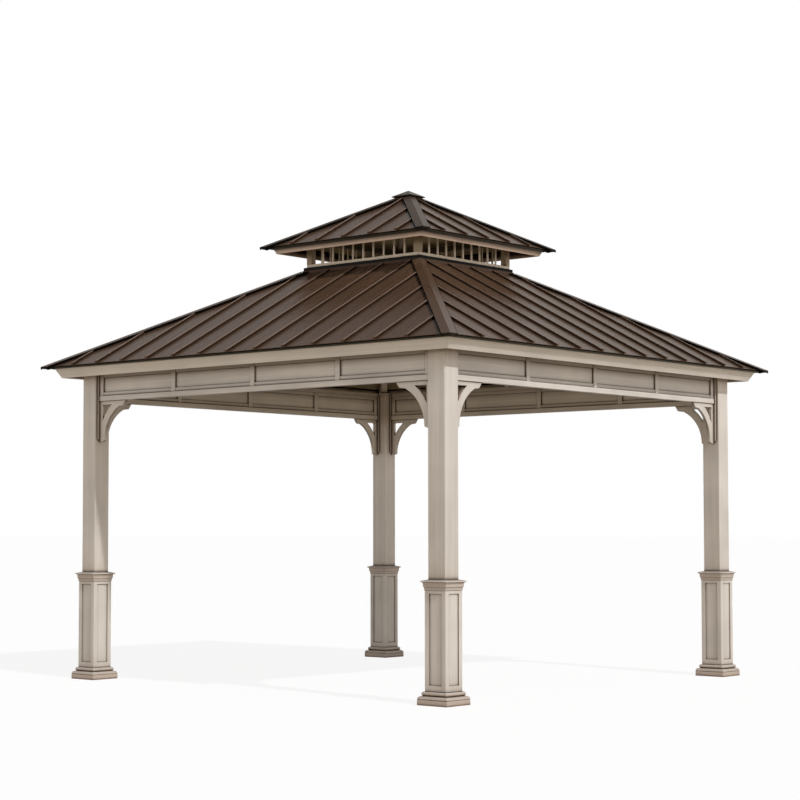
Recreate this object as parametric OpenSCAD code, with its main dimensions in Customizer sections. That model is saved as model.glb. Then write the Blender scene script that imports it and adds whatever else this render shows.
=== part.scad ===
// Square metal gazebo. Four posts on panelled pedestals carry four framed headers,
// a standing seam hip roof and a small vented cupola with a hip roof of its own.
// Units are millimetres and +Z is up. The front side faces -Y. The origin is on
// the ground under the middle of the roof.

/* [Posts] */
// Distance between the centres of two neighbouring posts
post_span = 3100; // [2400:10:4200]
// Side of a square post
post_w = 128; // [90:1:180]
// Height of a post under its cap plate
post_h = 2124; // [1900:1:2400]
// Thickness of the cap plate on a post
post_cap_t = 14; // [4:1:30]
// How far the cap plate stands out past the post
post_cap_over = 5; // [1:1:15]

/* [Pedestals] */
// Side of the plinth on the ground
plinth_w = 226; // [190:1:300]
// Height of the plinth
plinth_h = 54; // [30:1:90]
// Radius of the plinth's rounded shoulder
plinth_round = 18; // [6:1:24]
// Height of the base bead between plinth and body
base_h = 26; // [14:1:40]
// How far the base bead stands out past the body
base_over = 15; // [4:1:20]
// Side of the pedestal body
ped_w = 158; // [144:1:190]
// Height of the pedestal body
ped_h = 595; // [300:1:900]
// Bare border beside a recessed panel
ped_border = 32; // [20:1:50]
// Bare border below a recessed panel
ped_sill = 37; // [15:1:80]
// Bare border above a recessed panel
ped_head = 20; // [10:1:80]
// Depth of a recessed panel
ped_recess = 7; // [2:1:10]
// Height of the crown's neck band
neck_h = 19; // [8:1:30]
// How far the neck band stands out past the body
neck_over = 3; // [1:1:8]
// Height of the crown's step band
step_h = 18; // [8:1:30]
// How far the step band stands out past the neck
step_over = 5; // [1:1:10]
// Radius of the crown's cove
cove_r = 12; // [6:1:20]
// Height of the crown's lip
lip_top_h = 6; // [3:1:12]
// Rise of the crown's top from its lip to the post
crown_rise = 8; // [2:1:20]
// Clearance between a post and what is slipped over it
wrap_gap = 0.4; // [0.2:0.1:0.8]

/* [Headers] */
// How far the headers stand outward from the post centres
hdr_off = 20; // [0:1:28]
// Height of the bottom ledge of a header
ledge_h = 34; // [20:1:60]
// Depth of the ledge and of the top rail
ledge_d = 36; // [24:1:60]
// Height of the lip between ledge and panels
lip_h = 14; // [6:1:30]
// Visible height of a header panel
panel_h = 114; // [60:1:200]
// Height of the band above the panels
band_h = 26; // [10:1:50]
// Height of the top rail of a header
rail_h = 27; // [15:1:60]
// Depth of lip and band
frame_d = 20; // [14:1:30]
// Depth of mullions and stiles
mull_d = 28; // [22:1:34]
// Width of a mullion
mull_w = 38; // [20:1:60]
// Width of the stile at each end
stile_w = 36; // [20:1:60]
// Thickness of a header panel
panel_t = 4; // [2:0.5:8]
// Clearance round a header panel
panel_gap = 0.3; // [0.1:0.1:0.6]
// Thickness of the strip between post and header
strip_t = 10; // [4:1:20]
// Width of that strip
strip_w = 54; // [40:1:70]
// How far the strip runs down below the ledge
strip_drop = 266; // [120:1:400]

/* [Braces] */
// Thickness of a brace
brace_t = 20; // [10:1:30]
// Reach of a brace along the ledge
brace_l = 264; // [200:1:400]
// Reach of a brace down the strip
brace_drop = 283; // [260:1:420]
// Width of the brace's two legs
leg_w = 28; // [16:1:40]
// Radius of the hollow under the brace
arc_r = 255; // [200:1:320]
// Width of the curved member
arc_w = 52; // [30:1:70]
// Width of the brace at its foot
foot_w = 46; // [30:1:60]
// Straight length at the foot
foot_h = 8; // [2:1:20]
// Height of the cut tip
tip_h = 37; // [25:1:50]
// Slant of the cut tip
tip_slant = 23; // [5:1:40]
// Flat heel behind the tip
heel_l = 33; // [10:1:60]

/* [Main roof] */
// Overhang of the eave from the post centres
eave_over = 234; // [150:1:400]
// Height of the eave above the headers
eave_rise = 30; // [5:1:80]
// Pitch of both roofs in degrees
pitch = 28; // [22:0.5:34]
// Thickness of the roof sheet
sheet_t = 3; // [1:0.5:6]
// Clear gap of a sheet from the hip line
hip_gap = 3; // [2:0.5:8]
// Distance between two seams of the main roof
seam_pitch = 250; // [150:1:400]
// Shift of the main roof's seams along the eave, away from the front right corner
seam_shift = 36; // [0:1:60]
// Height of a seam
seam_h = 14; // [8:1:40]
// Width of a seam at its foot
seam_w = 16; // [10:1:50]
// Width of a seam at its top
seam_top = 13; // [6:1:30]
// Height of the sheet's upturned end at the cupola
upturn_h = 18; // [8:1:30]
// Width of a hip cap's wing
cap_w = 50; // [40:1:100]
// Thickness of a hip cap
cap_t = 2.5; // [2:0.5:6]
// Depth of the flap folded down at a hip cap's low end
cap_flap = 13; // [6:1:20]
// How far a hip cap runs out past the eave
cap_over = 40; // [10:1:60]
// Clearance between pieces that lap
lap_gap = 0.3; // [0.1:0.1:0.6]
// Height of the eave trim's face
trim_h = 22; // [12:1:30]
// Thickness of the eave trim
trim_t = 3; // [2:0.5:5]
// Depth of the eave trim's flange under the sheet
trim_d = 50; // [30:1:60]
// Setback of the fascia from the eave
fascia_in = 19; // [8:1:30]
// Thickness of a fascia
fascia_t = 14; // [8:1:25]
// Depth of the main fascia square to the slope
fascia_d = 101; // [50:1:140]
// Gap at each mitred corner
mitre_gap = 0.4; // [0.2:0.1:1]
// Width of a hip rafter
hip_w = 46; // [30:1:80]
// Depth of a hip rafter
hip_d = 72; // [40:1:76]
// Width of a common rafter
raf_w = 40; // [25:1:60]
// Depth of a common rafter
raf_d = 66; // [30:1:76]
// Distance of a common rafter from the middle of its side
raf_x = 300; // [120:1:420]
// Setback of the rafter tails from the eave
tail_in = 84; // [75:1:140]

/* [Cupola] */
// Outer side of the cupola's wall
cup_w = 1020; // [800:10:1400]
// How far the curb stands out past the wall
curb_over = 16; // [6:1:40]
// Thickness of the curb
curb_t = 60; // [40:1:90]
// Height of the curb above the roof sheet
curb_up = 38; // [30:1:90]
// Depth of the curb below the roof sheet
curb_down = 86; // [80:1:140]
// Gap between the curb and the roof sheet's upper edge
curb_gap = 5; // [2:1:12]
// Height of the base rail
base_rail_h = 22; // [12:1:40]
// Thickness of the cupola's wall
wall_t = 42; // [30:1:55]
// Height of the cupola's corner posts and balusters
vent_h = 158; // [90:1:260]
// Height of the plate on the cupola's posts
plate_h = 38; // [20:1:60]
// Side of a cupola corner post
cup_post_w = 45; // [43:1:60]
// Number of balusters on a side
bal_n = 9; // [3:1:14]
// Width of a baluster
bal_w = 12; // [10:1:30]
// Depth of a baluster
bal_d = 10; // [8:1:28]
// Overhang of the cupola's eave from its wall
cup_over = 195; // [120:1:260]
// Rise from the plate to the underside of the roof at the wall
cup_seat = 30; // [26:1:60]
// Distance between two seams of the cupola's roof
cup_seam_pitch = 239; // [150:1:320]
// Depth of the cupola's fascia square to the slope
cup_fascia_d = 58; // [40:1:80]
// Width of a cupola hip rafter
cup_hip_w = 30; // [20:1:40]
// Depth of a cupola hip rafter
cup_hip_d = 24; // [15:1:26]
// Half side of the top cap
top_half = 85; // [60:1:140]
// How far the top cap's edge stands out past its neck
top_lip = 12; // [4:1:20]
// Height of the top cap's neck
top_neck = 4; // [2:1:12]
// Height of the top cap's edge
top_edge = 5; // [3:1:12]
// Thickness of the top cap
top_wall = 3; // [2:0.5:8]

/* [Hidden] */
$fn = 96;
beige = [0.71, 0.66, 0.60];
taupe = [0.64, 0.59, 0.53];
bronze = [0.33, 0.26, 0.22];
black = [0.14, 0.13, 0.12];
corner = post_span / 2;
post_top = post_h + post_cap_t;
body_z = plinth_h + base_h;
body_top = body_z + ped_h;
hole = post_w + 2 * wrap_gap;
hdr_h = ledge_h + lip_h + panel_h + band_h + rail_h;
ledge_z = post_top - hdr_h;
frame_z = ledge_z + ledge_h;
win_z = frame_z + lip_h;
hdr_half = corner - post_w / 2 - strip_t;
hdr_y = -(corner + hdr_off);
mull_x = hdr_half / 2;
win_in = mull_x - mull_w;
win_out = hdr_half - stile_w - mull_x - mull_w / 2;
rise = tan(pitch);
hip_deg = atan(rise / sqrt(2));
wing_deg = asin(sin(pitch) / sqrt(2));
eave_half = corner + eave_over;
eave_z = post_top + eave_rise;
cup_half = cup_w / 2;
curb_half = cup_half + curb_over;
open_half = curb_half + curb_gap;
curb_z = eave_z + (eave_half - curb_half) * rise;
wall_z = curb_z + curb_up;
vent_z = wall_z + base_rail_h;
plate_z = vent_z + vent_h;
plate_top = plate_z + plate_h;
cup_eave = cup_half + cup_over;
cup_eave_z = plate_top + cup_seat + sheet_t / cos(pitch) - cup_over * rise;
peak_half = 22;
cap_lift = seam_h + 2 * lap_gap + cap_t;
neck_half = top_half - top_lip;
neck_in = neck_half - top_wall;
top_z = cup_eave_z + (cup_eave - neck_in) * rise + (cap_lift + lap_gap) / cos(pitch);
big = eave_half * 3;

// Places a piece at one corner: 0 front right, 1 back right, 2 back left, 3 front left.
module at_corner(k) rotate(90 * k) translate([corner, -corner, 0]) children();

// Turns a piece of the front side to side k: 0 front, 1 right, 2 back, 3 left.
module at_side(k) rotate(90 * k) children();

// Local frame of the front slope: X along the eave, Y up the slope, Z square to it.
module on_slope(half, z) translate([0, -half, z]) rotate([pitch, 0, 0]) children();

// Plan wedge of the front side between the two mitre planes.
module front_wedge() linear_extrude(big)
    polygon([[0, -mitre_gap], [-big, -big - mitre_gap], [big, -big - mitre_gap]]);

// Square moulding whose half width follows a profile of [half width, height] points.
module square_moulding(profile) {
    mirrored = [for (i = [len(profile) - 1:-1:0]) [-profile[i][0], profile[i][1]]];
    outline = concat(profile, mirrored);
    span = 2 * max([for (p = profile) p[0]]) + 2;
    intersection() {
        rotate([90, 0, 0]) linear_extrude(span, center = true) polygon(outline);
        rotate([90, 0, 90]) linear_extrude(span, center = true) polygon(outline);
    }
}

// Square hole that lets a post through a moulding.
module post_hole(z, h) translate([-hole / 2, -hole / 2, z - 1]) cube([hole, hole, h + 2]);

// Plinth block with a rounded shoulder.
module plinth() {
    half = plinth_w / 2;
    shoulder = [for (a = [0:15:90]) [
        half - plinth_round + plinth_round * cos(a),
        plinth_h - plinth_round + plinth_round * sin(a)
    ]];
    difference() {
        square_moulding(concat([[half, 0]], shoulder));
        post_hole(0, plinth_h);
    }
}

// Bead between plinth and pedestal body.
module base_bead() {
    half = ped_w / 2;
    bead = [for (a = [-60:15:60]) [
        half + base_over - base_h / 2 + base_h / 2 * cos(a),
        base_h / 2 + base_h / 2 * sin(a) / sin(60)
    ]];
    translate([0, 0, plinth_h]) difference() {
        square_moulding(bead);
        post_hole(0, base_h);
    }
}

// Pedestal body with a recessed panel in each face.
module pedestal() {
    side = ped_w - 2 * ped_border;
    high = ped_h - ped_sill - ped_head;
    translate([0, 0, body_z]) difference() {
        translate([-ped_w / 2, -ped_w / 2, 0]) cube([ped_w, ped_w, ped_h]);
        post_hole(0, ped_h);
        for (k = [0:3])
            rotate(90 * k)
                translate([-side / 2, -ped_w / 2 - 1, ped_sill])
                    cube([side, ped_recess + 1, high]);
    }
}

// Crown of a pedestal: neck band, step band, cove, lip and sloped top.
module crown() {
    neck = ped_w / 2 + neck_over;
    step = neck + step_over;
    step_z = neck_h + step_h;
    lip_z = step_z + cove_r;
    top = lip_z + lip_top_h;
    cove = [for (a = [0:15:90]) [step + cove_r - cove_r * cos(a), step_z + cove_r * sin(a)]];
    profile = concat(
        [[neck, 0], [neck, neck_h], [step, neck_h]],
        cove,
        [[step + cove_r, top], [post_w / 2 + crown_rise / 2, top + crown_rise]]
    );
    translate([0, 0, body_top]) difference() {
        square_moulding(profile);
        post_hole(0, top + crown_rise);
    }
}

// Square post with its cap plate.
module post() {
    cap = post_w + 2 * post_cap_over;
    translate([-post_w / 2, -post_w / 2, 0]) cube([post_w, post_w, post_h]);
    translate([-cap / 2, -cap / 2, post_h - 1]) cube([cap, cap, post_cap_t + 1]);
}

// Strip on the post that receives the right end of the front header and its brace.
module header_strip()
    translate([hdr_half, hdr_y - strip_w / 2, ledge_z - strip_drop])
        cube([strip_t, strip_w, post_h - ledge_z + strip_drop]);

// Header frame: ledge, lip, mullions, stiles, band and top rail joined as one piece.
module header_frame() {
    top_z = win_z + panel_h + band_h;
    translate([0, hdr_y, 0]) {
        translate([-hdr_half, -ledge_d / 2, ledge_z]) cube([2 * hdr_half, ledge_d, ledge_h]);
        translate([-hdr_half, -ledge_d / 2, top_z]) cube([2 * hdr_half, ledge_d, rail_h]);
        difference() {
            translate([-hdr_half, -frame_d / 2, frame_z])
                cube([2 * hdr_half, frame_d, lip_h + panel_h + band_h]);
            header_windows(panel_h, frame_d + 2, 0);
        }
        for (s = [-1, 1])
            translate([s * (hdr_half - stile_w / 2) - stile_w / 2, -mull_d / 2, frame_z])
                cube([stile_w, mull_d, lip_h + panel_h + band_h]);
        for (i = [-1:1])
            translate([i * mull_x - mull_w / 2, -mull_d / 2, frame_z])
                cube([mull_w, mull_d, lip_h + panel_h + band_h]);
    }
}

// The four window blocks of a header, smaller by a gap on every edge.
module header_windows(h, d, gap) for (s = [-1, 1]) {
    translate([s * mull_x / 2 - win_in / 2 + gap, -d / 2, win_z + gap])
        cube([win_in - 2 * gap, d, h - 2 * gap]);
    translate([s * (mull_x + mull_w / 2 + win_out / 2) - win_out / 2 + gap, -d / 2, win_z + gap])
        cube([win_out - 2 * gap, d, h - 2 * gap]);
}

// The four sheet panels of a header.
module header_panels() translate([0, hdr_y, 0]) header_windows(panel_h, panel_t, panel_gap);

// Outline of a brace: X runs from the strip along the ledge, Y runs up to the ledge.
module brace_outline() {
    arc_x = foot_w + arc_r;
    arc_y = -(brace_drop - foot_h);
    heel_x = brace_l - tip_slant - heel_l;
    translate([0, -brace_drop]) square([leg_w, brace_drop]);
    polygon([[0, 0], [brace_l, 0], [brace_l - tip_slant, -tip_h], [heel_x, -tip_h - 4],
        [heel_x - leg_w, -leg_w], [0, -leg_w]]);
    intersection() {
        translate([0, -brace_drop + foot_h]) square([arc_x, brace_drop - foot_h]);
        translate([arc_x, arc_y]) difference() {
            circle(arc_r + arc_w);
            circle(arc_r);
        }
    }
    polygon([[leg_w - 1, -brace_drop + foot_h], [foot_w, -brace_drop + foot_h],
        [leg_w, -brace_drop], [leg_w - 1, -brace_drop]]);
}

// Brace at the right end of the front header.
module brace_right() translate([hdr_half, hdr_y, ledge_z])
    mirror([1, 0, 0]) rotate([90, 0, 0]) linear_extrude(brace_t, center = true) brace_outline();

// The two braces of corner k.
module brace_pair(k) {
    at_side(k) brace_right();
    at_side(k + 1) mirror([1, 0, 0]) brace_right();
}

// Height of the main roof's sheet line at a distance from the middle of the roof.
function roof_z(half) = eave_z + (eave_half - half) * rise;

// Height of the cupola roof's sheet line at a distance from the middle of the roof.
function cup_z(half) = cup_eave_z + (cup_eave - half) * rise;

// Drop from the hip line to the top of a hip rafter of a given width.
function hip_drop(w) = sheet_t / cos(pitch) + w / 2 / sqrt(2) * rise + lap_gap;

// Hip rafter from the tail over the post to the curb, along the corner diagonal.
module hip_rafter() {
    drop = hip_drop(hip_w);
    r_tail = (eave_half - tail_in) * sqrt(2);
    r_end = curb_half * sqrt(2) + lap_gap;
    r_post = corner * sqrt(2);
    seat = post_w / 3;
    depth = hip_d;
    function line(r) = roof_z(r / sqrt(2)) - drop;
    rotate(-45) rotate([90, 0, 0]) linear_extrude(hip_w, center = true)
        polygon([[r_tail, line(r_tail)], [r_end, line(r_end)], [r_end, line(r_end) - depth],
            [r_post - seat, line(r_post - seat) - depth], [r_post - seat, post_top],
            [r_post + seat, post_top], [r_post + seat, line(r_post + seat) - depth],
            [r_tail, line(r_tail) - depth]]);
}

// Common rafter of the front side, from the tail over the header to the curb.
module common_rafter(x) {
    seat = ledge_d / 2;
    tail = eave_half - tail_in;
    head = curb_half + lap_gap;
    under = sheet_t / cos(pitch);
    function line(y) = roof_z(y) - under;
    translate([x - raf_w / 2, 0, 0]) rotate([90, 0, -90]) mirror([0, 0, 1]) linear_extrude(raf_w)
        polygon([[tail, line(tail)], [head, line(head)], [head, line(head) - raf_d],
            [-hdr_y - seat, line(-hdr_y - seat) - raf_d], [-hdr_y - seat, post_top],
            [-hdr_y + seat, post_top], [-hdr_y + seat, line(-hdr_y + seat) - raf_d],
            [tail, line(tail) - raf_d]]);
}

// One roof slope of the front side: sheet with standing seams.
module roof_slope(half, z, top, step, shift) {
    long = (half - top) / cos(pitch);
    count = ceil(half / step);
    on_slope(half, z) {
        translate([0, 0, -sheet_t]) linear_extrude(sheet_t)
            polygon([[-half + hip_gap, 0], [half - hip_gap, 0], [top - hip_gap, long],
                [-top + hip_gap, long]]);
        for (i = [-count:count]) {
            side = half - abs(i * step + shift);
            run = min(long - sheet_t, (side - seam_w / 2 - 2 * hip_gap) / cos(pitch));
            if (side > seam_w + cap_w)
                translate([i * step + shift, run, 0]) rotate([90, 0, 0]) linear_extrude(run)
                    polygon([[-seam_w / 2, -sheet_t / 2], [seam_w / 2, -sheet_t / 2],
                        [seam_w / 2, 0], [seam_top / 2, seam_h], [-seam_top / 2, seam_h],
                        [-seam_w / 2, 0]]);
        }
    }
}

// Eave trim of the front side: a face strip and a flange under the sheet.
module trim_front(half, z) intersection() {
    front_wedge();
    on_slope(half, z) {
        translate([-half, 0, -trim_h]) cube([2 * half, trim_t, trim_h - sheet_t]);
        translate([-half, 0, -sheet_t - trim_t]) cube([2 * half, trim_d, trim_t]);
    }
}

// Fascia of the front side, square to the slope and mitred at both ends.
module fascia_side(half, z, deep) intersection() {
    front_wedge();
    on_slope(half, z)
        translate([-half, fascia_in, -deep])
            cube([2 * half, fascia_t, deep - sheet_t - trim_t]);
}

// Folded hip cap on the seam tops, with a keel between the sheets and a flap at its low end.
module hip_cap(half, z, low, high) {
    ridge = cap_lift / cos(pitch) - lap_gap;
    drop = cap_w * sin(wing_deg);
    side = cap_w * cos(wing_deg);
    under = [cap_t * cos(wing_deg), cap_t * sin(wing_deg)];
    keel = hip_gap / sqrt(2) - lap_gap;
    keel_top = cap_t / cos(wing_deg) + keel * tan(wing_deg);
    keel_low = ridge * cos(hip_deg) + sheet_t / 2;
    start = low + cap_w;
    module along_hip(outline)
        rotate(-45) translate([start * sqrt(2), 0, z + (half - start) * rise + ridge])
            rotate([0, hip_deg - 90, 0])
                linear_extrude((start - high) * sqrt(2) / cos(hip_deg)) polygon(outline);
    intersection() {
        linear_extrude(big) square(2 * low, center = true);
        along_hip([[0, 0], [-drop, side], [-drop - under[0], side - under[1]], [-keel_top, keel],
            [-keel_low, keel], [-keel_low, -keel], [-keel_top, -keel],
            [-drop - under[0], -side + under[1]], [-drop, -side]]);
    }
    intersection() {
        linear_extrude(big) difference() {
            square(2 * low, center = true);
            square(2 * (low - cap_t), center = true);
        }
        along_hip([[0, 0], [-drop, side], [-drop - cap_flap, side], [-cap_flap, 0],
            [-drop - cap_flap, -side], [-drop, -side]]);
    }
}

// One bar of a mitred square ring on the front side.
module ring_bar(half, t, z, h) intersection() {
    front_wedge();
    translate([-half, -half, z]) cube([2 * half, t, h]);
}

// Cupola hip rafter from its tail over the plate to the peak.
module cupola_hip() {
    drop = hip_drop(cup_hip_w);
    r_tail = (cup_eave - tail_in / 2) * sqrt(2);
    r_end = cup_hip_w * 0.6;
    r_mid = (cup_half - wall_t / 2) * sqrt(2);
    seat = wall_t / 3;
    function line(r) = cup_z(r / sqrt(2)) - drop;
    function low(r) = line(r) - cup_hip_d;
    rotate(-45) rotate([90, 0, 0]) linear_extrude(cup_hip_w, center = true)
        polygon([[r_tail, line(r_tail)], [r_end, line(r_end)], [r_end, low(r_end)],
            [r_mid - seat, low(r_mid - seat)], [r_mid - seat, plate_top],
            [r_mid + seat, plate_top], [r_mid + seat, low(r_mid + seat)],
            [r_tail, low(r_tail)]]);
}

module plinths() color(beige) for (k = [0:3]) at_corner(k) plinth();
module pedestal_bases() color(beige) for (k = [0:3]) at_corner(k) base_bead();
module pedestal_front_right() color(beige) at_corner(0) pedestal();
module pedestal_back_right() color(beige) at_corner(1) pedestal();
module pedestal_back_left() color(beige) at_corner(2) pedestal();
module pedestal_front_left() color(beige) at_corner(3) pedestal();
module pedestal_crowns() color(beige) for (k = [0:3]) at_corner(k) crown();
module post_front_right() color(beige) at_corner(0) post();
module post_back_right() color(beige) at_corner(1) post();
module post_back_left() color(beige) at_corner(2) post();
module post_front_left() color(beige) at_corner(3) post();
module header_strips() color(beige) for (k = [0:3]) at_side(k) {
    header_strip();
    mirror([1, 0, 0]) header_strip();
}
module header_frame_front() color(beige) at_side(0) header_frame();
module header_frame_right() color(beige) at_side(1) header_frame();
module header_frame_back() color(beige) at_side(2) header_frame();
module header_frame_left() color(beige) at_side(3) header_frame();
module header_panels_front() color(taupe) at_side(0) header_panels();
module header_panels_right() color(taupe) at_side(1) header_panels();
module header_panels_back() color(taupe) at_side(2) header_panels();
module header_panels_left() color(taupe) at_side(3) header_panels();
module braces_front_right() color(beige) brace_pair(0);
module braces_back_right() color(beige) brace_pair(1);
module braces_back_left() color(beige) brace_pair(2);
module braces_front_left() color(beige) brace_pair(3);
module hip_rafters() color(taupe) for (k = [0:3]) at_side(k) hip_rafter();
module common_rafters() color(taupe) for (k = [0:3]) at_side(k) {
    common_rafter(-raf_x);
    common_rafter(raf_x);
}
module eave_trim() color(black) for (k = [0:3]) at_side(k) trim_front(eave_half, eave_z);
module fascia_front() color(beige) at_side(0) fascia_side(eave_half, eave_z, fascia_d);
module fascia_right() color(beige) at_side(1) fascia_side(eave_half, eave_z, fascia_d);
module fascia_back() color(beige) at_side(2) fascia_side(eave_half, eave_z, fascia_d);
module fascia_left() color(beige) at_side(3) fascia_side(eave_half, eave_z, fascia_d);
module main_slope(shift) {
    roof_slope(eave_half, eave_z, open_half, seam_pitch, shift);
    translate([-open_half + hip_gap, -open_half - 1.5 * sheet_t, roof_z(open_half) - sheet_t])
        cube([2 * (open_half - hip_gap), sheet_t, upturn_h + sheet_t]);
}
module roof_front() color(bronze) at_side(0) main_slope(-seam_shift);
module roof_right() color(bronze) at_side(1) main_slope(seam_shift);
module roof_back() color(bronze) at_side(2) main_slope(-seam_shift);
module roof_left() color(bronze) at_side(3) main_slope(seam_shift);
module roof_hip_caps() color(bronze) for (k = [0:3]) at_side(k)
    hip_cap(eave_half, eave_z, eave_half + cap_over, open_half + curb_gap);
module cupola_curb() color(black) for (k = [0:3]) at_side(k)
    ring_bar(curb_half, curb_t, curb_z - curb_down, curb_down + curb_up);
module cupola_base_rails() color(beige) for (k = [0:3]) at_side(k)
    ring_bar(cup_half, wall_t, wall_z, base_rail_h);
module cupola_posts() color(beige) for (k = [0:3]) at_side(k)
    translate([cup_half - cup_post_w, -cup_half, vent_z])
        cube([cup_post_w, cup_post_w, vent_h]);
module cupola_balusters() {
    gap = 2 * (cup_half - cup_post_w) / (bal_n + 1);
    color(beige) for (k = [0:3]) at_side(k) for (i = [1:bal_n])
        translate([-cup_half + cup_post_w + i * gap - bal_w / 2,
            -cup_half + (wall_t - bal_d) / 2, vent_z])
            cube([bal_w, bal_d, vent_h]);
}
module cupola_plates() color(beige) for (k = [0:3]) at_side(k)
    ring_bar(cup_half, wall_t, plate_z, plate_h);
module cupola_hip_rafters() color(taupe) for (k = [0:3]) at_side(k) cupola_hip();
module cupola_trim() color(black) for (k = [0:3]) at_side(k) trim_front(cup_eave, cup_eave_z);
module cupola_fascia() color(beige) for (k = [0:3]) at_side(k)
    fascia_side(cup_eave, cup_eave_z, cup_fascia_d);
module cupola_roof() color(bronze) for (k = [0:3]) at_side(k)
    roof_slope(cup_eave, cup_eave_z, peak_half, cup_seam_pitch, 0);
module cupola_hip_caps() color(bronze) for (k = [0:3]) at_side(k)
    hip_cap(cup_eave, cup_eave_z, cup_eave + cap_over, peak_half + cap_w / 2);
module top_cap() color(bronze) {
    edge_z = top_z + top_neck;
    slope_z = edge_z + top_edge;
    inner_z = slope_z + (top_half - neck_in) * rise - top_wall / cos(pitch);
    tip = 0.01;
    difference() {
        square_moulding([[neck_half, top_z], [neck_half, edge_z], [top_half, edge_z],
            [top_half, slope_z], [tip, slope_z + (top_half - tip) * rise]]);
        square_moulding([[neck_in, top_z - 1], [neck_in, inner_z],
            [tip, inner_z + (neck_in - tip) * rise]]);
    }
}

plinths();
pedestal_bases();
pedestal_front_left();
pedestal_front_right();
pedestal_back_right();
pedestal_back_left();
pedestal_crowns();
post_front_left();
post_front_right();
post_back_right();
post_back_left();
header_strips();
header_frame_front();
header_frame_right();
header_frame_back();
header_frame_left();
header_panels_front();
header_panels_right();
header_panels_back();
header_panels_left();
braces_front_left();
braces_front_right();
braces_back_right();
braces_back_left();
hip_rafters();
common_rafters();
eave_trim();
fascia_front();
fascia_right();
fascia_back();
fascia_left();
roof_front();
roof_right();
roof_back();
roof_left();
roof_hip_caps();
cupola_curb();
cupola_base_rails();
cupola_posts();
cupola_balusters();
cupola_plates();
cupola_hip_rafters();
cupola_trim();
cupola_fascia();
cupola_roof();
cupola_hip_caps();
top_cap();
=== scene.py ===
import math

import bmesh
import bpy
from mathutils import Matrix, Vector


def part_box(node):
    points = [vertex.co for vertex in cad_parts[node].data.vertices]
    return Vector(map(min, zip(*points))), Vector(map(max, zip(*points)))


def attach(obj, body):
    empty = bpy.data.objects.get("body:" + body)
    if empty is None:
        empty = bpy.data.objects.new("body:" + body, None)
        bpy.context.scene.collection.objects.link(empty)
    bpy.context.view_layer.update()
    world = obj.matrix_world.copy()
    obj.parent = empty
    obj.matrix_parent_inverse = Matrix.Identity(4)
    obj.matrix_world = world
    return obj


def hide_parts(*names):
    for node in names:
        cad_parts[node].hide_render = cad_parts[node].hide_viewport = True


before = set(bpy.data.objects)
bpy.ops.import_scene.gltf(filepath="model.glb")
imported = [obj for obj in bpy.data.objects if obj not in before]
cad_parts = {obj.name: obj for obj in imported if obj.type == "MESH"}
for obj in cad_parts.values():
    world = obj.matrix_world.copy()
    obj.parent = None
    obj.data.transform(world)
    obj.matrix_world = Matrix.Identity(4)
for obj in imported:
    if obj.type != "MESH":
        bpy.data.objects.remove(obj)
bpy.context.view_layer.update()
scene = bpy.context.scene
scene.view_settings.view_transform = "Standard"

# Camera
# A long lens stands off the front right corner, at chest height and a little tilted up,
# with the view slid a little so that the gazebo sits where the photograph has it.
camera_data = bpy.data.cameras.new("camera")
camera_data.sensor_width = 36
camera_data.lens = 88.01
camera_data.shift_x = 0.0625
camera_data.shift_y = 0.0375
camera = bpy.data.objects.new("camera", camera_data)
camera.location = (8.8017, -10.6072, 1.0385)
camera.rotation_euler = (math.pi / 2 + 0.05038, 0, 0.72273)
scene.collection.objects.link(camera)
scene.camera = camera

# Studio floor
# A wide sheet of matt white paper. The camera sees it almost burnt out to white, so only
# a faint shadow is left on it, and it throws soft light up under the roof.


def linear(colour):
    """Turns an sRGB hex colour into the linear values that Blender's sockets take."""
    parts = [int(colour[i:i + 2], 16) / 255 for i in (1, 3, 5)]
    return [p / 12.92 if p <= 0.04045 else ((p + 0.055) / 1.055) ** 2.4 for p in parts] + [1]


def add(tree, kind, settings=None, links=None):
    """Adds one node. A setting is an input's value or a property, and a link feeds an input."""
    made = tree.nodes.new("ShaderNode" + kind)
    for key, value in (settings or {}).items():
        if isinstance(key, int) or key in made.inputs:
            made.inputs[key].default_value = value
        else:
            setattr(made, key, value)
    for key, socket in (links or {}).items():
        tree.links.new(socket, made.inputs[key])
    return made


def seen_directly(tree):
    """1 for rays from the camera, a mirror or glass, and 0 for light that bounces."""
    path = add(tree, "LightPath")
    mirror = add(tree, "Math", {"operation": "MAXIMUM"}, {
        0: path.outputs["Is Camera Ray"], 1: path.outputs["Is Glossy Ray"]})
    return add(tree, "Math", {"operation": "MAXIMUM"}, {
        0: mirror.outputs[0], 1: path.outputs["Is Transmission Ray"]}).outputs[0]


floor_span, floor_glow, floor_shade = 400.0, 0.888, 0.20
floor_mesh = bmesh.new()
bmesh.ops.create_grid(floor_mesh, x_segments=2, y_segments=2, size=floor_span / 2)
floor_data = bpy.data.meshes.new("floor")
floor_mesh.to_mesh(floor_data)
floor = bpy.data.objects.new("floor", floor_data)
scene.collection.objects.link(floor)
# Matt paper: seen directly it glows just under white and its shading only adds a little, while
# the light that it throws back is warm.
paper = bpy.data.materials.new("matt_white_paper")
paper.use_nodes = True
tree = paper.node_tree
tree.nodes.clear()
bounce = add(tree, "BsdfDiffuse", {"Color": linear("#ECDDC8")})
white = add(tree, "BsdfDiffuse", {"Color": [c * floor_shade for c in linear("#E8E6E2")[:3]] + [1]})
glow = add(tree, "Emission", {"Color": (1, 1, 1, 1), "Strength": floor_glow})
shadowed = add(tree, "AddShader", None, {0: glow.outputs[0], 1: white.outputs[0]})
shown = add(tree, "MixShader", None, {
    0: seen_directly(tree), 1: bounce.outputs[0], 2: shadowed.outputs[0]})
add(tree, "OutputMaterial", None, {"Surface": shown.outputs[0]})
floor_data.materials.append(paper)

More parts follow.
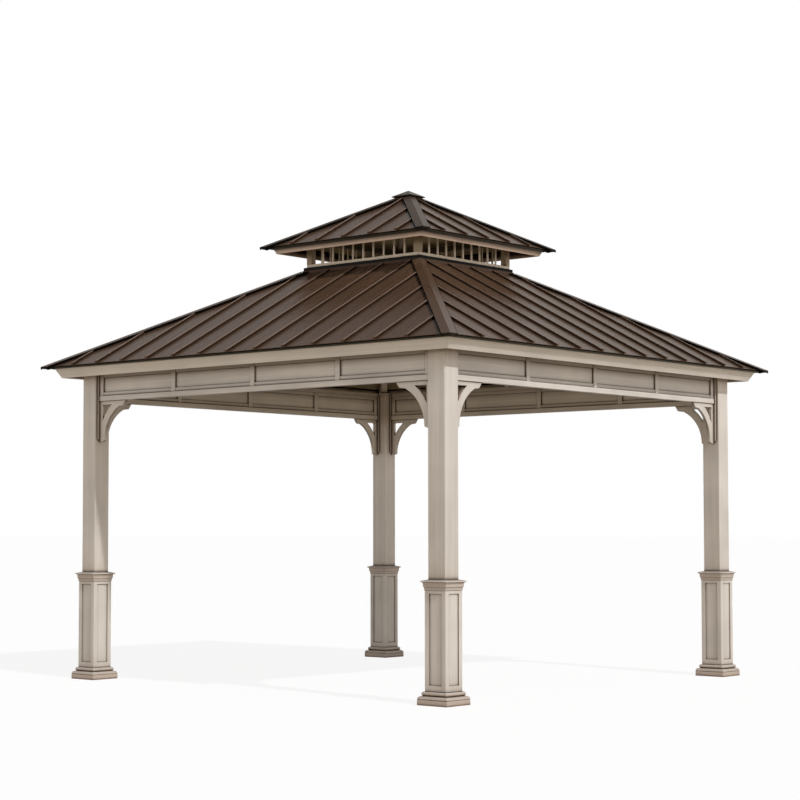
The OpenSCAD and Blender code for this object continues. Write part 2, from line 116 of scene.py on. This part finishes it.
# Studio light
# One hard lamp from the right, a little above and in front, as the shadows on the posts show,
# and a white room all round, bright along its walls and dim overhead, that fills the shade.
toward_key = (1.13, -0.19, 1.0)
# Heights in the room are sines of angles above the horizon. The camera and reflections see its
# walls as plain white up to 29 degrees, and a dim ceiling above 38.
wall_light, ceiling_light, ceiling_rise = 2.65, 0.12, 0.30
mirror_wall_top, mirror_ceiling, mirror_dim = 0.48, 0.62, 0.08
room = bpy.data.worlds.new("white_room")
room.use_nodes = True
scene.world = room
tree = room.node_tree
tree.nodes.clear()
rise = add(tree, "SeparateXYZ", None, {0: add(tree, "TexCoord").outputs["Generated"]}).outputs["Z"]
level = add(tree, "MapRange", {
    "From Max": ceiling_rise, "To Min": wall_light, "To Max": ceiling_light}, {"Value": rise})
fill = add(tree, "Background", {"Color": (0.99, 1.0, 1.0, 1)}, {"Strength": level.outputs[0]})
white_wall = add(tree, "MapRange", {
    "From Min": mirror_wall_top, "From Max": mirror_ceiling, "To Min": 1.0, "To Max": mirror_dim}, {
    "Value": rise})
backdrop = add(tree, "Background", {"Color": (1, 1, 1, 1)}, {"Strength": white_wall.outputs[0]})
around = add(tree, "MixShader", None, {
    0: seen_directly(tree), 1: fill.outputs[0], 2: backdrop.outputs[0]})
add(tree, "OutputWorld", None, {"Surface": around.outputs[0]})
key_data = bpy.data.lights.new("key", "SUN")
key_data.energy = 2.0
key_data.angle = math.radians(1.5)
key_data.color = (0.94, 0.975, 1.0)
key = bpy.data.objects.new("key", key_data)
key.rotation_euler = Vector(toward_key).to_track_quat("Z", "Y").to_euler()
scene.collection.objects.link(key)

# Plinths
# Square blocks that stand on the ground under the posts, pressed from steel sheet with
# a rounded shoulder and powder coated beige like the rest of the frame.


def powder_coat(name, colour, streak_axis, crease_shade=0.97, shade=0.8, under=-0.5, stain_and_shade=None):
    """Powder coat on steel: satin, faintly streaked along the piece, with painted shade in corners.

    The height band, for a real stain and for painted shade alike, is two heights, a colour and
    a share: it has none at the first height and its full share at the second one. Faces whose
    normal's Z lies below under get a brown painted shade of undersides.
    """
    made = bpy.data.materials.new(name)
    made.use_nodes = True
    tree = made.node_tree
    shader = tree.nodes["Principled BSDF"]
    place = add(tree, "TexCoord").outputs["Object"]
    # Drawing streaks 12 mm wide and 0.9 m long, as the sheet came through the rollers.
    stretch = [1 / 0.012] * 3
    stretch[streak_axis] = 1 / 0.9
    turned = add(tree, "Mapping", {"Scale": stretch}, {"Vector": place})
    streak = add(tree, "TexNoise", {"Scale": 1.0, "Detail": 2.0, "Roughness": 0.6}, {
        "Vector": turned.outputs[0]})
    # Broad patches about 350 mm across, where the coat lies a little thicker.
    patch = add(tree, "TexNoise", {"Scale": 1 / 0.35, "Detail": 2.0}, {"Vector": place})
    mixed = add(tree, "Math", {"operation": "MULTIPLY_ADD", 1: 0.8}, {
        0: streak.outputs["Fac"], 2: patch.outputs["Fac"]})
    share = add(tree, "MapRange", {"From Min": 0.6, "From Max": 1.2}, {
        "Value": mixed.outputs[0]})
    dark = [c * 0.84 for c in linear(colour)[:3]] + [1]
    light = [min(1, c * 1.08) for c in linear(colour)[:3]] + [1]
    tone = add(tree, "Mix", {"data_type": "RGBA", 6: dark, 7: light}, {
        0: share.outputs[0]}).outputs[2]
    # Painted shade: a soft brown darkening on what lies deep under the eaves, and a dark one in
    # corners and creases within 20 mm of another face.
    for reach, unshaded_ao, full, most, hollow_shade in ((0.20, 0.95, 0.25, shade, "#8E6C40"),
                                           (0.020, 0.90, 0.60, crease_shade, "#361E10")):
        corner = add(tree, "AmbientOcclusion", {"Distance": reach, "samples": 6})
        shade_share = add(tree, "MapRange", {"From Min": unshaded_ao, "From Max": full, "To Max": most}, {
            "Value": corner.outputs["AO"]})
        tone = add(tree, "Mix", {"data_type": "RGBA", 7: linear(hollow_shade)}, {
            0: shade_share.outputs[0], 6: tone}).outputs[2]
    # Painted shade on undersides: faces that turn downward are darkened brown.
    normal = add(tree, "NewGeometry").outputs["Normal"]
    turn = add(tree, "SeparateXYZ", None, {0: normal}).outputs["Z"]
    underside_shade = add(tree, "MapRange", {"From Min": under, "From Max": under - 0.35, "To Max": 0.7}, {
        "Value": turn})
    tone = add(tree, "Mix", {"data_type": "RGBA", 7: linear("#5A4228")}, {
        0: underside_shade.outputs[0], 6: tone}).outputs[2]
    if stain_and_shade:
        height = add(tree, "SeparateXYZ", None, {0: place}).outputs["Z"]
        none_at, full_at, brown, most = stain_and_shade
        run = add(tree, "MapRange", {"From Min": none_at, "From Max": full_at, "To Max": most}, {
            "Value": height})
        tone = add(tree, "Mix", {"data_type": "RGBA", 7: linear(brown)}, {
            0: run.outputs[0], 6: tone}).outputs[2]
    tree.links.new(tone, shader.inputs["Base Color"])
    # Orange peel of the coat, drawn 4 mm wide so that it shows at all.
    peel = add(tree, "TexNoise", {"Scale": 1 / 0.004, "Detail": 1.0}, {"Vector": place})
    relief = add(tree, "Bump", {"Strength": 0.05, "Distance": 0.001}, {
        "Height": peel.outputs["Fac"]})
    tree.links.new(relief.outputs[0], shader.inputs["Normal"])
    gloss = add(tree, "MapRange", {"To Min": 0.42, "To Max": 0.56}, {
        "Value": streak.outputs["Fac"]})
    tree.links.new(gloss.outputs[0], shader.inputs["Roughness"])
    shader.inputs["Specular IOR Level"].default_value = 0.2
    return made


# Edges where the faces turn by more than these angles are shaded sharp, or rolled over.
sharp_from, rolled_from = math.radians(20), math.radians(40)


def place_piece(name, mesh, coats, slot, *nodes):
    """Makes a piece of a bmesh, coats it, and lets it stand for CAD nodes."""
    data = bpy.data.meshes.new(name)
    mesh.to_mesh(data)
    mesh.free()
    for coat in coats:
        data.materials.append(coat)
    data.polygons.foreach_set("use_smooth", [True] * len(data.polygons))
    data.set_sharp_from_angle(angle=sharp_from)
    piece = bpy.data.objects.new(name, data)
    scene.collection.objects.link(piece)
    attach(piece, "root")
    if nodes:
        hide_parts(*nodes)
    return piece


def eased(node, radius):
    """Copy of a CAD node, its triangles merged into faces and its hard edges rolled over."""
    mesh = bmesh.new()
    mesh.from_mesh(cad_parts[node].data)
    bmesh.ops.remove_doubles(mesh, verts=mesh.verts, dist=1e-5)
    bmesh.ops.dissolve_limit(mesh, angle_limit=math.radians(1), verts=mesh.verts, edges=mesh.edges)
    hard = [e for e in mesh.edges if e.calc_face_angle(0) > rolled_from]
    bmesh.ops.bevel(mesh, geom=hard, offset=radius, segments=2, profile=0.5, affect="EDGES",
                    material=-1, clamp_overlap=True)
    return mesh


def whole(mesh):
    """All the vertices, edges and faces of a mesh, as bmesh operators take them."""
    return mesh.verts[:] + mesh.edges[:] + mesh.faces[:]


beige = "#D8CEC4"
post_place, post_reach = 1.550, 0.095
# Rain splashes earth against the coat near the ground, which makes it a little browner there.
ground_coat = powder_coat("beige_powder_coat_splashed", beige, 2,
                          stain_and_shade=(0.14, 0.0, "#A88B78", 0.28))
# A line 4 mm deep is scored round each block under its shoulder: two edges, then the bottom.
score_low, score_high, score_middle, score_depth = 0.0320, 0.0372, 0.0346, 0.004
blocks = eased("plinths", 0.003)
for height, depth in ((score_low, 0.0), (score_high, 0.0), (score_middle, score_depth)):
    cut = bmesh.ops.bisect_plane(blocks, geom=whole(blocks), plane_co=(0, 0, height),
                                 plane_no=(0, 0, 1))
    for point in cut["geom_cut"]:
        if isinstance(point, bmesh.types.BMVert):
            for axis in (0, 1):
                centre = math.copysign(post_place, point.co[axis])
                if abs(point.co[axis] - centre) > post_reach:
                    point.co[axis] -= math.copysign(depth, point.co[axis] - centre)
place_piece("plinth_blocks", blocks, [ground_coat], "frame_metal", "plinths")

# Base beads
# Half-round mouldings of roll-formed steel that close the joint between each plinth and its
# pedestal, powder coated and splashed like the plinths.
place_piece("base_beads", eased("pedestal_bases", 0.002), [ground_coat], "frame_metal",
            "pedestal_bases")

# Pedestals
# Steel covers, folded square and slipped over the posts from above, with a pressed panel in each
# of their four faces.
# The plain coat: warm beige, satin, with upright streaks and painted shade in its corners.
upright_coat = powder_coat("beige_powder_coat_upright", beige, 2)
corners = ("front_left", "front_right", "back_right", "back_left")
for corner in corners:
    node = "pedestal_" + corner
    place_piece(node + "_cover", eased(node, 0.002), [upright_coat], "frame_metal", node)

# Crowns
# Roll-formed steel mouldings that cap the pedestal covers and close round the posts, with
# a pale lip over a cove and bands, the coat browner below the lip.
crown_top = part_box("pedestal_crowns")[1][2]
lip_depth, cove_depth = 0.010, 0.022
moulding_coat = powder_coat(
    "beige_powder_coat_moulding", beige, 2, shade=0.9,
    stain_and_shade=(crown_top - lip_depth, crown_top - cove_depth, "#9A7C68", 0.35))
place_piece("crown_mouldings", eased("pedestal_crowns", 0.0015), [moulding_coat], "frame_metal",
            "pedestal_crowns")

# Posts
# Square steel tubes that stand on the ground inside plinth and pedestal and carry the roof on
# a welded cap plate, in the same plain coat.
for corner in corners:
    node = "post_" + corner
    place_piece(node + "_tube", eased(node, 0.004), [upright_coat], "frame_metal", node)

# Header strips
# Flat upright strips of steel, screwed to the posts' inner faces, which take the ends of the
# headers and the feet of the braces.
place_piece("header_end_strips", eased("header_strips", 0.002), [upright_coat], "frame_metal",
            "header_strips")

# Headers
# Welded frames of rectangular steel tube between the posts, each with four sheet panels that
# stand behind a lip on the bottom ledge.
lip_foot, lip_top, lip_rise, edge_room = 1.957, 1.971, 0.011, 0.003
# Painted shade darkens the frames along the top, under the roof, and at the foot of the lip.
header_top_shade = (2.035, 2.092, "#6A543C", 0.48)
lip_foot_shade = (lip_foot + 0.013, lip_foot + 0.001, "#3E2A1A", 0.85)
header_coats = [powder_coat("beige_header_across", beige, 0, shade=0.45, stain_and_shade=header_top_shade),
                powder_coat("beige_header_along", beige, 1, shade=0.45, stain_and_shade=header_top_shade)]
lip_coats = [powder_coat("beige_lip_across", beige, 0, shade=0.3, crease_shade=0.6, stain_and_shade=lip_foot_shade),
             powder_coat("beige_lip_along", beige, 1, shade=0.3, crease_shade=0.6, stain_and_shade=lip_foot_shade)]
sides = ("front", "right", "back", "left")
for turn, side in enumerate(sides):
    coat = header_coats[turn % 2]
    node = "header_frame_" + side
    bars = eased(node, 0.002)
    for point in bars.verts:
        if abs(point.co.z - lip_top) < edge_room:
            point.co.z += lip_rise
    for face in bars.faces:
        height = face.calc_center_median().z
        face.material_index = int(lip_foot < height < lip_top + lip_rise + edge_room)
    place_piece(node + "_bars", bars, [coat, lip_coats[turn % 2]], "frame_metal", node)
    node = "header_panels_" + side
    place_piece(node + "_sheets", eased(node, 0.001), [coat], "panel_metal", node)

# Braces
# Curved knee braces cut from steel tube and plate, screwed to the strips and the ledges, with
# a slanted cut across the tip of each.
brace_plane, brace_reach = 1.570, 0.011
tip_top, tip_foot = (1.212, 1.923), (1.235, 1.886)


def tipped(mesh):
    """Cuts off what reaches past the slanted tip of each brace and closes the cut."""
    for axis in (0, 1):
        arm = [v for v in mesh.verts if abs(abs(v.co[1 - axis]) - brace_plane) < brace_reach]
        half = math.copysign(1, arm[0].co[axis])
        outward, place = [0, 0, tip_top[0] - tip_foot[0]], [0, 0, tip_top[1]]
        outward[axis] = half * (tip_foot[1] - tip_top[1])
        place[axis] = half * tip_top[0]
        edges = {e for v in arm for e in v.link_edges}
        faces = {f for v in arm for f in v.link_faces}
        cut = bmesh.ops.bisect_plane(mesh, geom=[*arm, *edges, *faces], plane_co=place,
                                     plane_no=outward, clear_outer=True)
        rim = [e for e in cut["geom_cut"] if isinstance(e, bmesh.types.BMEdge)]
        bmesh.ops.holes_fill(mesh, edges=rim)
    return mesh


# The hollows of the curves face down and take more painted underside shade than the other pieces.
brace_coat = powder_coat("beige_powder_coat_brace", beige, 2, under=-0.05)
for corner in corners:
    node = "braces_" + corner
    place_piece(node + "_curved", tipped(eased(node, 0.002)), [brace_coat], "frame_metal", node)

# Rafters
# Rectangular steel tubes under the roof sheets, seated on posts, headers and plates and bolted at
# their heads: four on the hips of each roof, and two under each main slope.
for node in ("hip_rafters", "common_rafters", "cupola_hip_rafters"):
    place_piece(node + "_tubes", eased(node, 0.002), [upright_coat], "rafter_metal", node)

# Fascias
# Folded steel sheet under the eaves, square to the slope, mitred at the corners and fixed to
# the rafters' ends.
fascia_low, fascia_high = (corner[2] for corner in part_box("fascia_front"))
closed_mitre = 1.0002
# Painted shade under the drip edge darkens the coat toward its upper edge.
fascia_top_shade = (fascia_low - 0.015, fascia_high, "#A0907A", 0.46)
fascia_coats = [powder_coat("beige_fascia_" + run, beige, axis, crease_shade=0.4, shade=0.3,
                            stain_and_shade=fascia_top_shade)
                for axis, run in enumerate(("across", "along"))]
for turn, side in enumerate(sides):
    node = "fascia_" + side
    board = eased(node, 0.0004)
    along = [1, 1, 1]
    along[turn % 2] = closed_mitre
    bmesh.ops.scale(board, vec=along, verts=board.verts)
    place_piece(node + "_board", board, [fascia_coats[turn % 2]], "frame_metal", node)

# Eave trim
# Drip edge folded from dark painted steel and hemmed along its lower edge. Its face stands
# back under the roof sheet, where a gap, painted black as shade, stays open above the hem.
pitch = math.radians(28)
main_eave = (1.784, 2.168)
cupola_eave = (0.705, 3.0226)


def painted_steel(name, colour, rough, shine, hollow_shade=0.0, across=None):
    """Coil-coated steel sheet: satin paint, cloudy or streaked by rain, with painted shade in
    hollows.
    """
    made = bpy.data.materials.new(name)
    made.use_nodes = True
    tree = made.node_tree
    shader = tree.nodes["Principled BSDF"]
    place = add(tree, "TexCoord").outputs["Object"]
    # Clouds 280 mm across, or on a slope streaks 55 mm wide and 0.9 m long, as the rain runs.
    stretch = [1 / 0.28] * 3
    if across is not None:
        stretch = [1 / 0.9] * 3
        stretch[across] = 1 / 0.055
    drawn = add(tree, "Mapping", {"Scale": stretch}, {"Vector": place})
    cloud = add(tree, "TexNoise", {"Scale": 1.0, "Detail": 3.0, "Roughness": 0.55}, {
        "Vector": drawn.outputs[0]})
    dark = [c * 0.88 for c in linear(colour)[:3]] + [1]
    light = [min(1, c * 1.10) for c in linear(colour)[:3]] + [1]
    share = add(tree, "MapRange", {"From Min": 0.3, "From Max": 0.7}, {
        "Value": cloud.outputs["Fac"]})
    tone = add(tree, "Mix", {"data_type": "RGBA", 6: dark, 7: light}, {0: share.outputs[0]})
    # Painted shade, near black, within 160 mm of the curb and within 30 mm of a seam.
    for reach in (0.16, 0.03):
        hollow = add(tree, "AmbientOcclusion", {"Distance": reach, "samples": 12})
        shade_share = add(tree, "MapRange", {"From Min": 0.90, "From Max": 0.45, "To Max": hollow_shade}, {
            "Value": hollow.outputs["AO"]})
        tone = add(tree, "Mix", {"data_type": "RGBA", 7: linear("#120D08")}, {
            0: shade_share.outputs[0], 6: tone.outputs[2]})
    tree.links.new(tone.outputs[2], shader.inputs["Base Color"])
    gloss = add(tree, "MapRange", {"To Min": rough - 0.05, "To Max": rough + 0.07}, {
        "Value": cloud.outputs["Fac"]})
    tree.links.new(gloss.outputs[0], shader.inputs["Roughness"])
    # Grain of the paint film, drawn 3 mm wide so that it shows at all.
    grain = add(tree, "TexNoise", {"Scale": 1 / 0.003, "Detail": 1.0}, {"Vector": place})
    relief = add(tree, "Bump", {"Strength": 0.04, "Distance": 0.001}, {
        "Height": grain.outputs["Fac"]})
    tree.links.new(relief.outputs[0], shader.inputs["Normal"])
    shader.inputs["Specular IOR Level"].default_value = shine
    return made


def square_ring(profile):
    """Closed mitred ring: a corner profile of (half width, height) points spun in four steps."""
    mesh = bmesh.new()
    points = [mesh.verts.new((half, -half, z)) for half, z in profile]
    for i, point in enumerate(points):
        mesh.edges.new((points[i - 1], point))
    bmesh.ops.spin(mesh, geom=whole(mesh), axis=(0, 0, 1), cent=(0, 0, 0), angle=math.tau, steps=4,
                   use_merge=True)
    bmesh.ops.recalc_face_normals(mesh, faces=mesh.faces)
    return mesh


def below_eave(eave, inward, height):
    """(half width, height) of a point that lies so far up the slope and so far above the sheet."""
    half, z = eave
    return (half - inward * math.cos(pitch) + height * math.sin(pitch),
            z + inward * math.sin(pitch) + height * math.cos(pitch))


# The trim's paint is a dull olive black; the gap above it is painted black as shade.
olive_paint = painted_steel("olive_black_coil_coat", "#3A362C", 0.45, 0.05)
foam_and_shade_black = painted_steel("black_foam_and_painted_shade", "#0E0D0B", 0.8, 0.02)
# The hem's profile, in steps up the slope and above the sheet.
hem = [(0.050, -0.0032), (0.006, -0.0032), (0.006, -0.0105), (0.0012, -0.0112),
       (0.0002, -0.0125), (0.0002, -0.0200), (0.0010, -0.0214), (0.0024, -0.0218),
       (0.0036, -0.0208), (0.0036, -0.0140), (0.0086, -0.0130), (0.0086, -0.0058),
       (0.050, -0.0058)]
# The gap's foot in the same steps, and how far the gap runs in behind it.
gap_foot, gap_deep = (0.006, -0.0107), 0.020
for name, eave in (("eave_trim", main_eave), ("cupola_trim", cupola_eave)):
    edge = square_ring([below_eave(eave, inward, height) for inward, height in hem])
    gap_half, gap_low = below_eave(eave, *gap_foot)
    # Faces that look out of the gap take the black, painted shade.
    for face in edge.faces:
        centre = face.calc_center_median()
        reach = max(abs(centre.x), abs(centre.y))
        in_gap = centre.z > gap_low and reach > gap_half - gap_deep
        face.material_index = int(in_gap and face.normal.z < 0.8)
    place_piece(name + "_hemmed_edge", edge, [olive_paint, foam_and_shade_black], "trim_metal", name)

# Roof slopes
# Bronze coil-coated steel sheets, rolled with upright legs along their edges and locked together
# into standing seams. Their hidden side has a dull olive backing coat in two tones of painted
# shade.


def onto_front_slope(mesh, eave):
    """Lays a mesh drawn flat, with the eave along X and the slope up Y, on the front slope."""
    half, z = eave
    lift = Matrix.Translation((0, -half, z)) @ Matrix.Rotation(pitch, 4, "X")
    bmesh.ops.transform(mesh, matrix=lift, verts=mesh.verts)


def block(mesh, low, high):
    """Adds a box between two corners and gives back its vertices."""
    made = bmesh.ops.create_cube(mesh, size=1)["verts"]
    bmesh.ops.scale(mesh, vec=[b - a for a, b in zip(low, high)], verts=made)
    bmesh.ops.translate(mesh, vec=[(a + b) / 2 for a, b in zip(low, high)], verts=made)
    return made


def seam_places(eave, step, shift):
    """Where the seams stand along the eave, without those that a hip cap would cover whole."""
    count = math.ceil(eave[0] / step)
    places = [i * step + shift for i in range(-count, count + 1)]
    return [x for x in places if eave[0] - abs(x) > 2 * cap_w]


def seamed_sheets(eave, top, step, shift, upturn):
    """One slope: pans cut apart at the seams, tapered seams with folded ends, an upturned end."""
    half = eave[0]
    slope = (half - top) / math.cos(pitch)
    mesh = bmesh.new()
    edge = [(hip_gap - half, 0), (half - hip_gap, 0),
            (top - hip_gap, slope), (hip_gap - top, slope)]
    mesh.faces.new([mesh.verts.new((x, y, 0)) for x, y in edge])
    for x in seam_places(eave, step, shift):
        bmesh.ops.bisect_plane(mesh, geom=whole(mesh), plane_co=(x, 0, 0), plane_no=(1, 0, 0))
    pans = bmesh.ops.extrude_face_region(mesh, geom=mesh.faces[:])["geom"]
    under = [v for v in pans if isinstance(v, bmesh.types.BMVert)]
    bmesh.ops.translate(mesh, vec=(0, 0, -sheet_t), verts=under)
    bmesh.ops.recalc_face_normals(mesh, faces=mesh.faces)
    for x in seam_places(eave, step, shift):
        run = min(slope - sheet_t, (half - abs(x) - seam_w / 2 - 2 * hip_gap) / math.cos(pitch))
        seam = block(mesh, (x - seam_w / 2, 0, -sheet_t / 2), (x + seam_w / 2, run, seam_h))
        crest = [v for v in seam if v.co.z > 0]
        bmesh.ops.scale(mesh, vec=(seam_top / seam_w, 1, 1), verts=crest,
                        space=Matrix.Translation((-x, 0, 0)))
        rim = [e for e in mesh.edges if e.verts[0] in crest and e.verts[1] in crest]
        bmesh.ops.bevel(mesh, geom=rim, offset=crest_round, segments=2, profile=0.5,
                        affect="EDGES", material=-1)
        block(mesh, (x - fold_w / 2, -fold_t, -sheet_t), (x + fold_w / 2, fold_t, seam_h + fold_up))
    mesh.normal_update()
    # Undersides take the backing's painted shade, and the top of each seam and one side of it the
    # painted highlight.
    for face in mesh.faces:
        crest = face.calc_center_median().z > seam_h - crest_round - 0.0001
        if face.normal.z < -0.5:
            face.material_index = 1
        elif crest and face.normal.x > -0.1:
            face.material_index = 2
    onto_front_slope(mesh, eave)
    if upturn:
        foot = eave[1] + (half - top) * math.tan(pitch) - sheet_t
        block(mesh, (hip_gap - top, -top - 1.5 * sheet_t, foot),
              (top - hip_gap, -top - 0.5 * sheet_t, foot + upturn))
    return mesh


def turned_copies(mesh, steps, angle):
    """Adds copies of everything in the mesh, turned about the gazebo's upright axis."""
    bmesh.ops.spin(mesh, geom=whole(mesh), cent=(0, 0, 0), axis=(0, 0, 1), angle=angle,
                   steps=steps, use_duplicate=True)


# Bronze coil coat: dark brown and satin, so a low view of it shows the white room.
# Its hollows near the curb and the seams take painted shade.
bronze, bronze_rough, bronze_shine, roof_hollow_shade = "#5B4434", 0.27, 0.060, 0.75
bronze_paint = painted_steel("bronze_coil_coat", bronze, bronze_rough, bronze_shine, hollow_shade=roof_hollow_shade)
slope_paints = [painted_steel("bronze_coil_coat_" + side, bronze, bronze_rough, bronze_shine,
                              hollow_shade=roof_hollow_shade, across=axis)
                for axis, side in enumerate(("front", "side"))]
# A paler coat on the top of each seam and on one side of it is a painted highlight.
crest_highlight_paint = painted_steel("bronze_crest_painted_highlight", "#8A7060", 0.35, 0.2)
# The backing is dull olive, painted shade: darker under the near slopes, paler under the far ones.
dark_inner_shade = painted_steel("olive_backing_painted_shade", "#3C3326", 0.6, 0.05)
pale_inner_shade = painted_steel("olive_lining_painted_shade", "#8C7C60", 0.6, 0.05)
sheet_t, hip_gap, cap_w = 0.003, 0.003, 0.050
seam_w, seam_top, seam_h, crest_round = 0.016, 0.013, 0.014, 0.0025
fold_w, fold_t, fold_up = 0.019, 0.003, 0.002
seam_step, seam_shift, cupola_step = 0.250, 0.036, 0.239
well_half, peak_half, curb_upturn = 0.531, 0.022, 0.021
for turn, side in enumerate(sides):
    shift = seam_shift if turn % 2 else -seam_shift
    sheets = seamed_sheets(main_eave, well_half, seam_step, shift, curb_upturn)
    bmesh.ops.rotate(sheets, matrix=Matrix.Rotation(turn * math.pi / 2, 3, "Z"), cent=(0, 0, 0),
                     verts=sheets.verts)
    slope_underside_shade = dark_inner_shade if turn < 2 else pale_inner_shade
    place_piece("roof_sheets_" + side, sheets, [slope_paints[turn % 2], slope_underside_shade, crest_highlight_paint],
                "roof_steel", "roof_" + side)
cupola_sheets = seamed_sheets(cupola_eave, peak_half, cupola_step, 0, 0)
turned_copies(cupola_sheets, 3, 1.5 * math.pi)
place_piece("cupola_roof_sheets", cupola_sheets, [bronze_paint, pale_inner_shade, crest_highlight_paint],
            "roof_steel", "cupola_roof")

# Hip caps
# Folded bronze caps screwed over the hips, each on black foam strips that fill the room between
# the seams, and a pyramid cap on the peak.
# The small roof's caps are a darker bronze; the low ends' flaps are darker still, painted shade.
peak_paint = painted_steel("dark_bronze_coil_coat", "#4C3C30", 0.27, 0.015)
flap_shade_paint = painted_steel("bronze_flap_painted_shade", "#2C211A", 0.5, 0.02)
for node, paint in (("roof_hip_caps", bronze_paint), ("cupola_hip_caps", peak_paint),
                    ("top_cap", peak_paint)):
    fold = eased(node, 0.001)
    fold.normal_update()
    # Undersides are painted black and upright flaps dark brown, both painted shade.
    for face in fold.faces:
        if face.normal.z < 0.3:
            face.material_index = 1 if face.normal.z < -0.1 else 2
    place_piece(node + "_fold", fold, [paint, foam_and_shade_black, flap_shade_paint], "roof_steel", node)
hip_lean = math.atan2(1 / math.cos(pitch), -1)
foam_in, foam_out, foam_h, foam_past_eave, foam_spare = 0.034, 0.049, 0.0142, 0.040, 0.20
# The black foam strips are real closures and also stand in for the shade under the caps' wings.
for name, eave, top in (("roof_hip_foam", main_eave, 0.535),
                        ("cupola_hip_foam", cupola_eave, 0.09)):
    half = eave[0]
    slope = (half - top) / math.cos(pitch)
    foam = bmesh.new()
    strip = block(foam, (-foam_spare, foam_in, 0.0), (2 * slope, foam_out, foam_h))
    bmesh.ops.rotate(foam, matrix=Matrix.Rotation(hip_lean, 3, "Z"), cent=(0, 0, 0), verts=strip)
    bmesh.ops.translate(foam, vec=(half, 0, 0), verts=strip)
    for y, facing in ((-foam_past_eave, -1), (slope, 1)):
        cut = bmesh.ops.bisect_plane(foam, geom=whole(foam), plane_co=(0, y, 0),
                                     plane_no=(0, facing, 0), clear_outer=True)
        rim = [e for e in cut["geom_cut"] if isinstance(e, bmesh.types.BMEdge)]
        bmesh.ops.holes_fill(foam, edges=rim)
    bmesh.ops.mirror(foam, geom=whole(foam), matrix=Matrix.Identity(4), merge_dist=1e-6, axis="X")
    bmesh.ops.recalc_face_normals(foam, faces=foam.faces)
    onto_front_slope(foam, eave)
    turned_copies(foam, 3, 1.5 * math.pi)
    place_piece(name, foam, [foam_and_shade_black], "trim_metal")

# Cupola curb
# A low upstand of dull black coil-coated steel round the roof's opening, which the sheets'
# upturned ends are flashed to.
black_paint = painted_steel("black_coil_coat", "#1E1C19", 0.5, 0.05)
place_piece("cupola_curb_flashing", eased("cupola_curb", 0.002), [black_paint], "trim_metal",
            "cupola_curb")

# Cupola wall
# Steel base rails, corner posts and balusters, welded into an open railing that lets warm air out
# from under the roof.
# The railing is a warmer beige than the frame; its posts' darker coat and the olive of its inner
# faces are painted shade.
cupola_coat = powder_coat("beige_powder_coat_cupola", "#E4D2BC", 2, crease_shade=0.1, shade=0.1)
shaded_post_coat = powder_coat("beige_powder_coat_painted_shade", "#A49480", 2)
facing_in = 0.2
for node in ("cupola_base_rails", "cupola_posts", "cupola_balusters"):
    bars = eased(node, 0.0015)
    # Inner faces of rails and balusters take the pale olive painted shade.
    for face in bars.faces:
        centre, facing = face.calc_center_median(), face.normal
        inward = -centre.x * facing.x if abs(centre.x) > abs(centre.y) else -centre.y * facing.y
        face.material_index = int(node != "cupola_posts" and inward > facing_in)
    coat = shaded_post_coat if node == "cupola_posts" else cupola_coat
    place_piece(node + "_bars", bars, [coat, pale_inner_shade], "frame_metal", node)

# Cupola fascia and plates
# A folded steel fascia under the small roof's eave, as on the main roof, and the plates on top of
# the railing that its rafters stand on.
board_low, board_edge, board_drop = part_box("cupola_fascia")[0][2], 0.006, 0.008
# This narrow board is dark brown most of the way down from its top, pale only near its lower edge.
browned_coat = powder_coat("beige_fascia_cupola", "#E4C8B2", 2, crease_shade=0.2, shade=0.3,
                           stain_and_shade=(board_low - 0.003, board_low + 0.027, "#2A1A0C", 0.98))
board = eased("cupola_fascia", 0.001)
for point in board.verts:
    if point.co.z < board_low + board_edge:
        point.co.z -= board_drop
place_piece("cupola_fascia_board", board, [browned_coat], "frame_metal", "cupola_fascia")
# The plates take the dark olive painted shade of the roof's undersides.
place_piece("cupola_plates_bars", eased("cupola_plates", 0.0015), [dark_inner_shade], "frame_metal",
            "cupola_plates")
